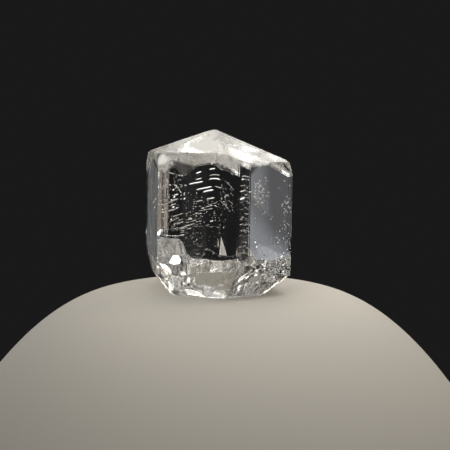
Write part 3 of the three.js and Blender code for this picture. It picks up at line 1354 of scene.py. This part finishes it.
@dataclass
class Studio:
    """Floor, lamps, backdrop tone and camera."""

    panels: tuple[SoftPanel, ...] = (
        SoftPanel("overhead", 0.0, 85.0, 150.0, 190.0, 190.0, 2.6, (1.0, 0.98, 0.94)),
        SoftPanel("behind_sky", 88.0, 16.0, 150.0, 170.0, 60.0, 0.28, (1.0, 0.92, 0.76)),
        SoftPanel("behind_high", 88.0, 44.0, 150.0, 120.0, 56.0, 1.0, (1.0, 0.96, 0.88)),
        SoftPanel(
            "behind_high_left", 88.0, 44.0, 60.0, 14.0, 11.0, 3.4, WARM_WHITE, offset=(15.0, 7.5),
        ),
        SoftPanel(
            "behind_high_right", 88.0, 44.0, 60.0, 17.0, 13.0, 3.2, WARM_WHITE,
            offset=(-22.0, -2.5),
        ),
        SoftPanel("right_high", 13.0, 44.0, 120.0, 70.0, 60.0, 3.8, (1.0, 0.94, 0.84)),
        SoftPanel("behind_edge", 57.5, -3.0, 60.0, 11.0, 60.0, 0.4, (1.0, 0.92, 0.85), fade=0.9),
        SoftPanel("behind_left", 144.0, -5.0, 60.0, 50.0, 50.0, 0.115, COOL_WHITE),
        SoftPanel(
            "behind_left_edge", 144.0, -5.0, 40.0, 3.6, 13.0, 0.13, COOL_WHITE,
            offset=(-4.7, 2.0), roll=180.0, fade=0.5,
        ),
        SoftPanel(
            "behind_left_low", 144.0, -5.0, 40.0, 36.0, 40.0, 0.26, (0.93, 0.95, 1.0),
            offset=(8.1, -12.3), roll=146.2, fade=0.08,
        ),
        SoftPanel("behind_glint", 93.0, 29.5, 100.0, 50.0, 4.0, 5.0, (1.0, 0.96, 0.9)),
        SoftPanel("behind_warm", 70.0, 20.0, 60.0, 16.0, 26.0, 1.2, (1.0, 0.92, 0.78)),
        SoftPanel("behind_right", 31.0, -7.0, 60.0, 13.0, 40.0, 0.21),
        SoftPanel("side_left", -158.0, -4.0, 60.0, 22.0, 60.0, 0.1, (0.92, 0.94, 1.0)),
        SoftPanel("behind_low", 89.5, -36.0, 60.0, 28.0, 34.0, 1.8, WARM_WHITE),
        SoftPanel("front_high", -115.0, 32.0, 120.0, 50.0, 50.0, 3.4, (1.0, 0.95, 0.86)),
    )
    backdrop: float = 0.01
    frame_size: int = 450
    crystal_width: float = 14.0
    crystal_pixels: float = 147.0
    view_azimuth: float = -90.0
    view_elevation: float = 5.0
    view_depth: tuple[float, float] = (MM, 10.0)
    lens: float = 85.0
    sensor: float = 36.0
    aim_height: float = 8.0 * MM
    shift: tuple[float, float] = (8.0, -19.0)
    level_radius: float = 9.0
    roll_off: float = 10.0
    floor_radius: float = 34.0
    floor_gap: float = 0.02
    floor_rings: int = 60
    floor_sides: int = 128
    bounces: int = 24
    glossy_bounces: int = 12

    def build(self) -> None:
        """Makes the whole studio."""
        self.build_floor()
        self.build_backdrop()
        self.build_camera()
        self.set_light_paths()
        for panel in self.panels:
            panel.build(UP * self.aim_height)
        LOG.info("studio: %d lamps", len(self.panels))

    def build_floor(self) -> None:
        """A plain pale floor that is level round the foot and rolls off towards its rim."""
        rings, sides = self.floor_rings, self.floor_sides
        turns = [2.0 * math.pi * side / sides for side in range(sides)]
        form = bmesh.new()
        middle = form.verts.new((0.0, 0.0, 0.0))
        loops = []
        for ring in range(1, rings + 1):
            radius = self.floor_radius * ring / rings
            fall = max(0.0, radius - self.level_radius) ** 2 / (2.0 * self.roll_off)
            loops.append([
                form.verts.new((
                    radius * math.cos(turn) * MM, radius * math.sin(turn) * MM, -fall * MM
                ))
                for turn in turns
            ])
        for side in range(sides):
            after = (side + 1) % sides
            form.faces.new((middle, loops[0][side], loops[0][after]))
            for inner, outer in zip(loops, loops[1:]):
                form.faces.new((inner[side], outer[side], outer[after], inner[after]))
        mesh = mesh_from("floor", form)
        mesh.polygons.foreach_set("use_smooth", [True] * len(mesh.polygons))
        mesh.transform(Matrix.Translation(-UP * self.floor_gap * MM))
        mesh.materials.append(PaleStone().build())
        new_object("floor", mesh)

    def build_backdrop(self) -> None:
        """An even dark surround."""
        world = bpy.data.worlds.new("surround")
        bpy.context.scene.world = world
        tree = emptied(world)
        tone = (self.backdrop, self.backdrop, self.backdrop, 1.0)
        glow = tree.add("ShaderNodeBackground", None, {"Color": tone, "Strength": 1.0})
        tree.add("ShaderNodeOutputWorld", None, {"Surface": glow})

    def build_camera(self) -> None:
        """The camera, slightly above the crystal and straight in front of it."""
        camera = bpy.data.cameras.new("camera")
        camera.lens = self.lens
        camera.sensor_width = self.sensor
        camera.clip_start, camera.clip_end = self.view_depth
        camera.shift_x, camera.shift_y = (pixels / self.frame_size for pixels in self.shift)
        thing = new_object("camera", camera)
        half_angle = math.atan(self.sensor / 2.0 / self.lens)
        pixel = self.crystal_width / self.crystal_pixels * MM
        distance = self.frame_size / 2.0 * pixel / math.tan(half_angle)
        away = direction(self.view_azimuth, 90.0 - self.view_elevation)
        thing.location = UP * self.aim_height + away * distance
        thing.rotation_mode = "QUATERNION"
        thing.rotation_quaternion = (-away).to_track_quat("-Z", "Y")
        bpy.context.scene.camera = thing

    def set_light_paths(self) -> None:
        """Lets light cross the crystal often enough for its inner reflections."""
        cycles = bpy.context.scene.cycles
        cycles.max_bounces = cycles.transmission_bounces = self.bounces
        cycles.glossy_bounces = self.glossy_bounces
        bpy.context.scene.view_settings.view_transform = "Standard"


MARKS = (
    FaceMarks(
        name="front_small_ledges", face=FRONT, rows=10, columns=7, left=-0.1, right=2.0, top=8.8,
        spacing=0.22, climb=12.0, fall=12.0, crest=1.7, share=0.36, length=(0.12, 0.5),
        width=(0.05, 0.1), relief=(0.025, 0.05), jitter=0.12, seed=3, jitter_up=0.05,
    ),
    FaceMarks(
        name="front_left_ledges", face=FRONT, rows=9, columns=6, left=-2.3, right=-0.2, top=7.9,
        spacing=0.2, climb=17.0, crest=0.2, share=0.4, length=(0.15, 0.6),
        width=(0.06, 0.1), relief=(0.03, 0.05), jitter=0.12, seed=11, jitter_up=0.05,
    ),
    FaceMarks(
        name="front_falling_ledges", face=FRONT, rows=9, columns=4, left=2.35, right=3.2, top=11.3,
        spacing=0.27, fall=42.0, crest=2.0, share=0.55, length=(0.15, 0.42),
        width=(0.06, 0.11), relief=(0.03, 0.06), jitter=0.1, seed=41, jitter_up=0.06,
    ),
    FaceMarks(
        name="front_dots", face=FRONT, rows=24, columns=20, left=-1.2, right=2.6, top=9.6,
        spacing=0.2, share=0.28, length=(0.05, 0.1),
        width=(0.05, 0.09), relief=(0.02, 0.045), jitter=0.12, seed=17, jitter_up=0.12,
    ),
    FaceMarks(
        name="front_upper_pits", face=FRONT, rows=10, columns=6, left=-2.7, right=-1.3, top=11.9,
        spacing=0.28, climb=40.0, crest=-1.0, share=0.45, length=(0.1, 0.35),
        width=(0.1, 0.22), relief=(0.05, 0.1), jitter=0.12, seed=23, jitter_up=0.12,
    ),
    FaceMarks(
        name="front_left_specks", face=FRONT, rows=8, columns=16, left=-3.6, right=-1.5, top=7.3,
        spacing=0.17, share=0.4, length=(0.05, 0.14),
        width=(0.05, 0.1), relief=(0.03, 0.06), jitter=0.12, seed=53, jitter_up=0.1,
    ),
    FaceMarks(
        name="front_edge_arcs", face=FRONT_EDGE, rows=14, columns=2, left=1.1, right=1.54, top=10.5,
        spacing=0.5, climb=14.0, fall=14.0, crest=1.3, share=0.75, length=(0.3, 0.46),
        width=(0.08, 0.16), relief=(0.015, 0.04), jitter=0.03, seed=5, jitter_up=0.1,
    ),
    FaceMarks(
        name="front_edge_pits", face=FRONT_EDGE, rows=44, columns=5, left=1.15, right=1.75,
        top=10.6, spacing=0.16, share=0.17, length=(0.12, 0.34),
        width=(0.12, 0.22), relief=(0.02, 0.06), jitter=0.1, seed=43, jitter_up=0.08,
    ),
    FaceMarks(
        name="left_ribs", face=LEFT, rows=7, columns=9, left=-3.6, right=1.6, top=11.0,
        spacing=1.2, share=0.5, length=(1.0, 3.0),
        width=(0.3, 0.7), relief=(0.015, 0.05), jitter=0.3, seed=47, jitter_up=0.6, turn=88.0,
        sunk=0.6,
    ),
    FaceMarks(
        name="right_front_dashes", face=RIGHT_FRONT, rows=8, columns=4, left=-0.8, right=0.2,
        top=11.5, spacing=0.3, fall=38.0, crest=-1.6, share=0.7, length=(0.3, 0.6),
        width=(0.1, 0.15), relief=(0.05, 0.08), jitter=0.1, seed=29,
    ),
    FaceMarks(
        name="right_front_pits", face=RIGHT_FRONT, rows=26, columns=12, left=-0.7, right=3.6,
        top=11.2, spacing=0.33, share=0.13, length=(0.1, 0.22),
        width=(0.1, 0.18), relief=(0.06, 0.1), jitter=0.15, seed=31, jitter_up=0.15,
    ),
    FaceMarks(
        name="right_front_edge_pits", face=RIGHT_FRONT, rows=24, columns=3, left=3.0, right=3.7,
        top=9.0, spacing=0.24, share=0.4, length=(0.1, 0.22),
        width=(0.1, 0.18), relief=(0.05, 0.09), jitter=0.15, seed=37, jitter_up=0.1,
    ),
)
LEDGES = (
    Stroke(FRONT, (1.05, 11.8), (1.65, 11.92), 0.15),
    Stroke(FRONT, (2.0, 11.95), (2.4, 11.8), 0.15),
    Stroke(FRONT, (-0.2, 11.4), (0.35, 11.6), 0.13),
    Stroke(FRONT, (3.05, 11.52), (3.35, 11.38), 0.11),
    Stroke(FRONT, (1.0, 11.2), (2.15, 11.25), 0.12, bow=0.14),
    Stroke(FRONT, (0.9, 10.85), (2.25, 10.88), 0.15, bow=0.14),
    Stroke(FRONT, (-0.25, 10.85), (0.4, 11.02), 0.1),
    Stroke(FRONT, (-0.9, 10.4), (0.55, 10.72), 0.15),
    Stroke(FRONT, (-0.2, 9.93), (1.4, 10.3), 0.15),
    Stroke(FRONT, (1.55, 10.35), (2.25, 10.15), 0.11),
    Stroke(FRONT, (0.4, 9.7), (1.55, 10.0), 0.17, bow=0.05),
    Stroke(FRONT, (0.75, 9.1), (1.65, 9.3), 0.15, bow=0.03),
    Stroke(FRONT, (-0.1, 8.88), (0.5, 9.05), 0.13),
    Stroke(FRONT, (2.68, 10.75), (2.95, 10.55), 0.15),
    Stroke(FRONT, (3.05, 10.4), (3.3, 10.18), 0.13),
    Stroke(FRONT, (2.55, 9.6), (2.95, 9.5), 0.13),
    Stroke(FRONT, (2.18, 9.85), (2.23, 9.15), 0.18, 0.09),
    Stroke(FRONT, (2.35, 9.08), (2.97, 8.3), 0.15, 0.08, bow=-0.06),
    Stroke(FRONT, (0.7, 8.42), (1.42, 8.6), 0.1),
    Stroke(FRONT, (0.05, 8.05), (1.3, 8.3), 0.08),
    Stroke(FRONT, (2.2, 6.98), (2.0, 5.75), 0.06, 0.05),
    Stroke(FRONT, (-3.63, 8.38), (-1.73, 9.12), 0.24, 0.12),
    Stroke(FRONT, (-3.5, 7.72), (-1.63, 8.35), 0.24, 0.12),
    Stroke(FRONT, (-3.7, 8.78), (-2.62, 9.2), 0.14),
    Stroke(FRONT, (-2.28, 9.33), (-1.8, 9.5), 0.15),
    Stroke(FRONT, (-2.45, 7.38), (-1.23, 7.82), 0.1),
    Stroke(FRONT, (-1.9, 6.82), (-1.35, 7.0), 0.12),
    Stroke(FRONT, (-0.97, 7.2), (-0.45, 7.35), 0.12),
    Stroke(FRONT, (-1.8, 6.33), (-0.2, 6.93), 0.12),
    Stroke(FRONT, (-3.7, 5.8), (-1.1, 5.88), 0.13, 0.08, bow=-0.16, steps=10),
    Stroke(LEFT, (-0.7, 8.2), (1.55, 9.05), 0.16),
    Stroke(LEFT, (-1.2, 7.4), (1.3, 8.3), 0.14),
    Stroke(LEFT, (1.4, 7.6), (2.0, 7.7), 0.16),
    Stroke(FRONT_EDGE, (0.95, 11.2), (1.75, 11.2), 0.11, bow=0.11),
    Stroke(FRONT_EDGE, (0.95, 10.93), (1.75, 10.93), 0.15, bow=0.12),
    Stroke(FRONT_EDGE, (0.9, 9.93), (1.35, 10.02), 0.14),
    Stroke(FRONT_EDGE, (0.9, 9.2), (1.42, 9.42), 0.2),
)
CRACKS = (
    Crack((
        (-3.9, -2.9, 3.1), (-3.5, -3.05, 2.95), (-2.9, -2.95, 3.05), (-2.75, -2.6, 3.4),
        (-3.0, -2.25, 3.75), (-3.5, -2.3, 3.7),
    )),
    Crack(((1.2, 0.0, 3.75), (1.95, 0.0, 3.75), (1.1, -1.9, 5.65))),
    Crack(((1.0, -0.3, 4.6), (1.2, -0.3, 4.6), (0.95, -1.0, 5.3))),
)


def main() -> None:
    """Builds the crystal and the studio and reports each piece."""
    logging.basicConfig(level=logging.INFO, format="%(name)s %(message)s")
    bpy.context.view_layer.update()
    crystal = Crystal(marks=(*MARKS, *LEDGES), cracks=CRACKS).build()
    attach(crystal, "root")
    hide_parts(NODE)
    Studio().build()


if __name__ == "__main__":
    main()
